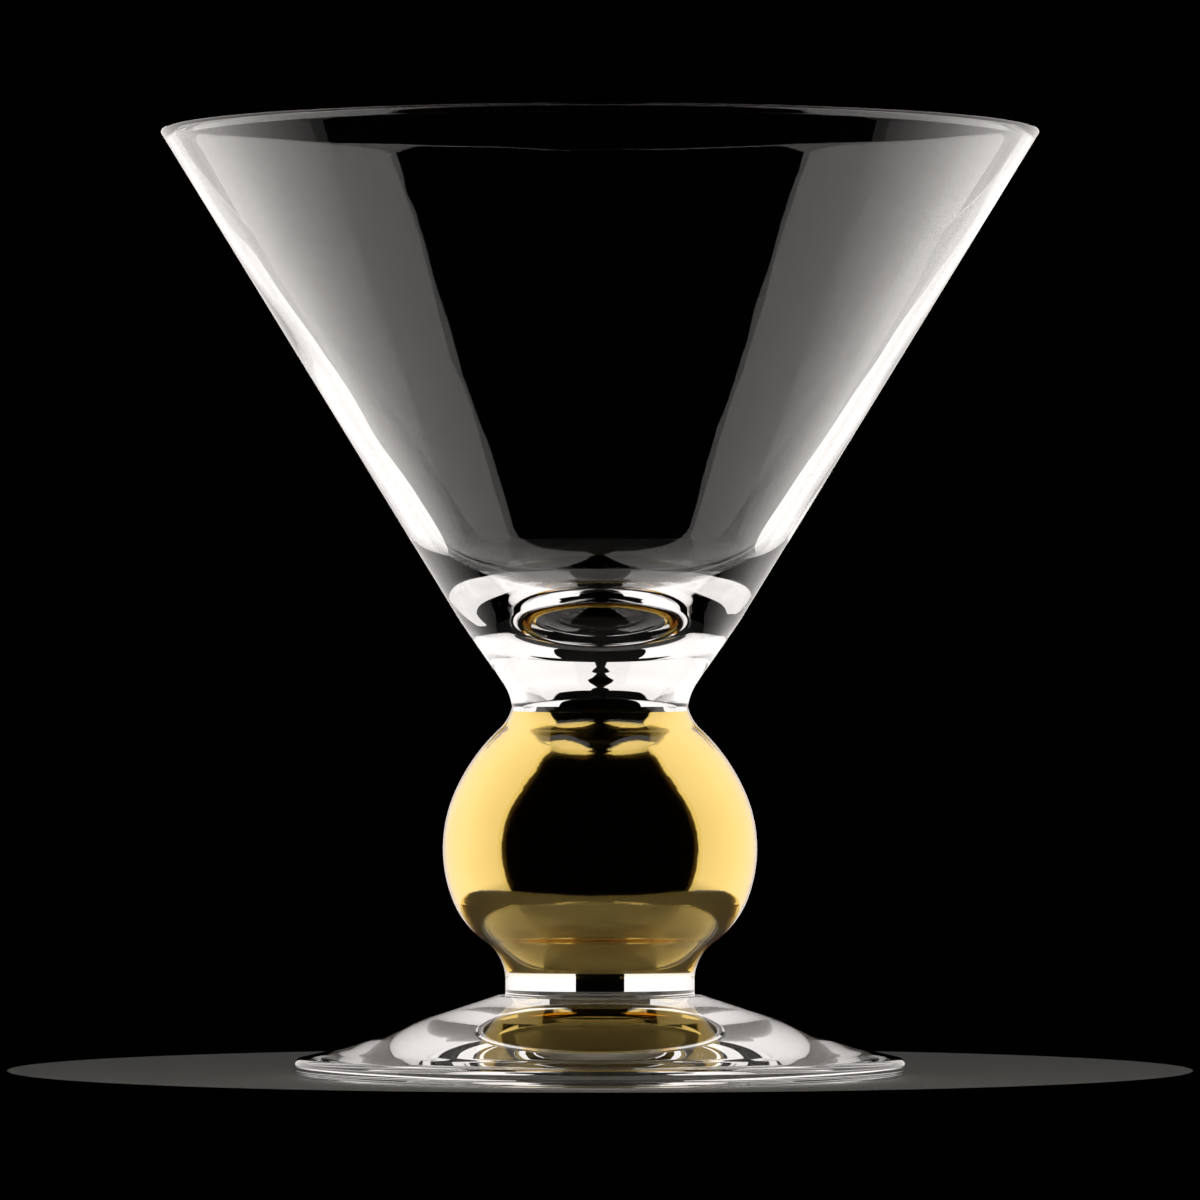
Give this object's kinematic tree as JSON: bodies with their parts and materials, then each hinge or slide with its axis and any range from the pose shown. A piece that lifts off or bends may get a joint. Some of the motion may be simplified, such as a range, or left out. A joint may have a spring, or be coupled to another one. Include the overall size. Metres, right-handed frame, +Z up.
{
  "type": "martini glass",
  "caption": "Cocktail glass with a conical clear bowl on a hollow ball gilded inside, and a low conical foot.",
  "frame": {"origin": "centre of the foot's resting face, on the glass's axis", "axes": "+Z up along the glass's axis, out of the open bowl"},
  "size_m": [0.1086, 0.1086, 0.117],
  "materials": {
    "glass_bowl": "polished",
    "glass_stem": "polished",
    "glass_foot": "polished",
    "gilding": "polished"
  },
  "bodies": {
    "root": {"bowl": "glass_bowl", "upper_collar": "glass_stem", "ball_shell": "glass_stem", "gold_lining": "gilding", "lower_collar": "glass_stem", "foot": "glass_foot"}
  },
  "joints": []
}
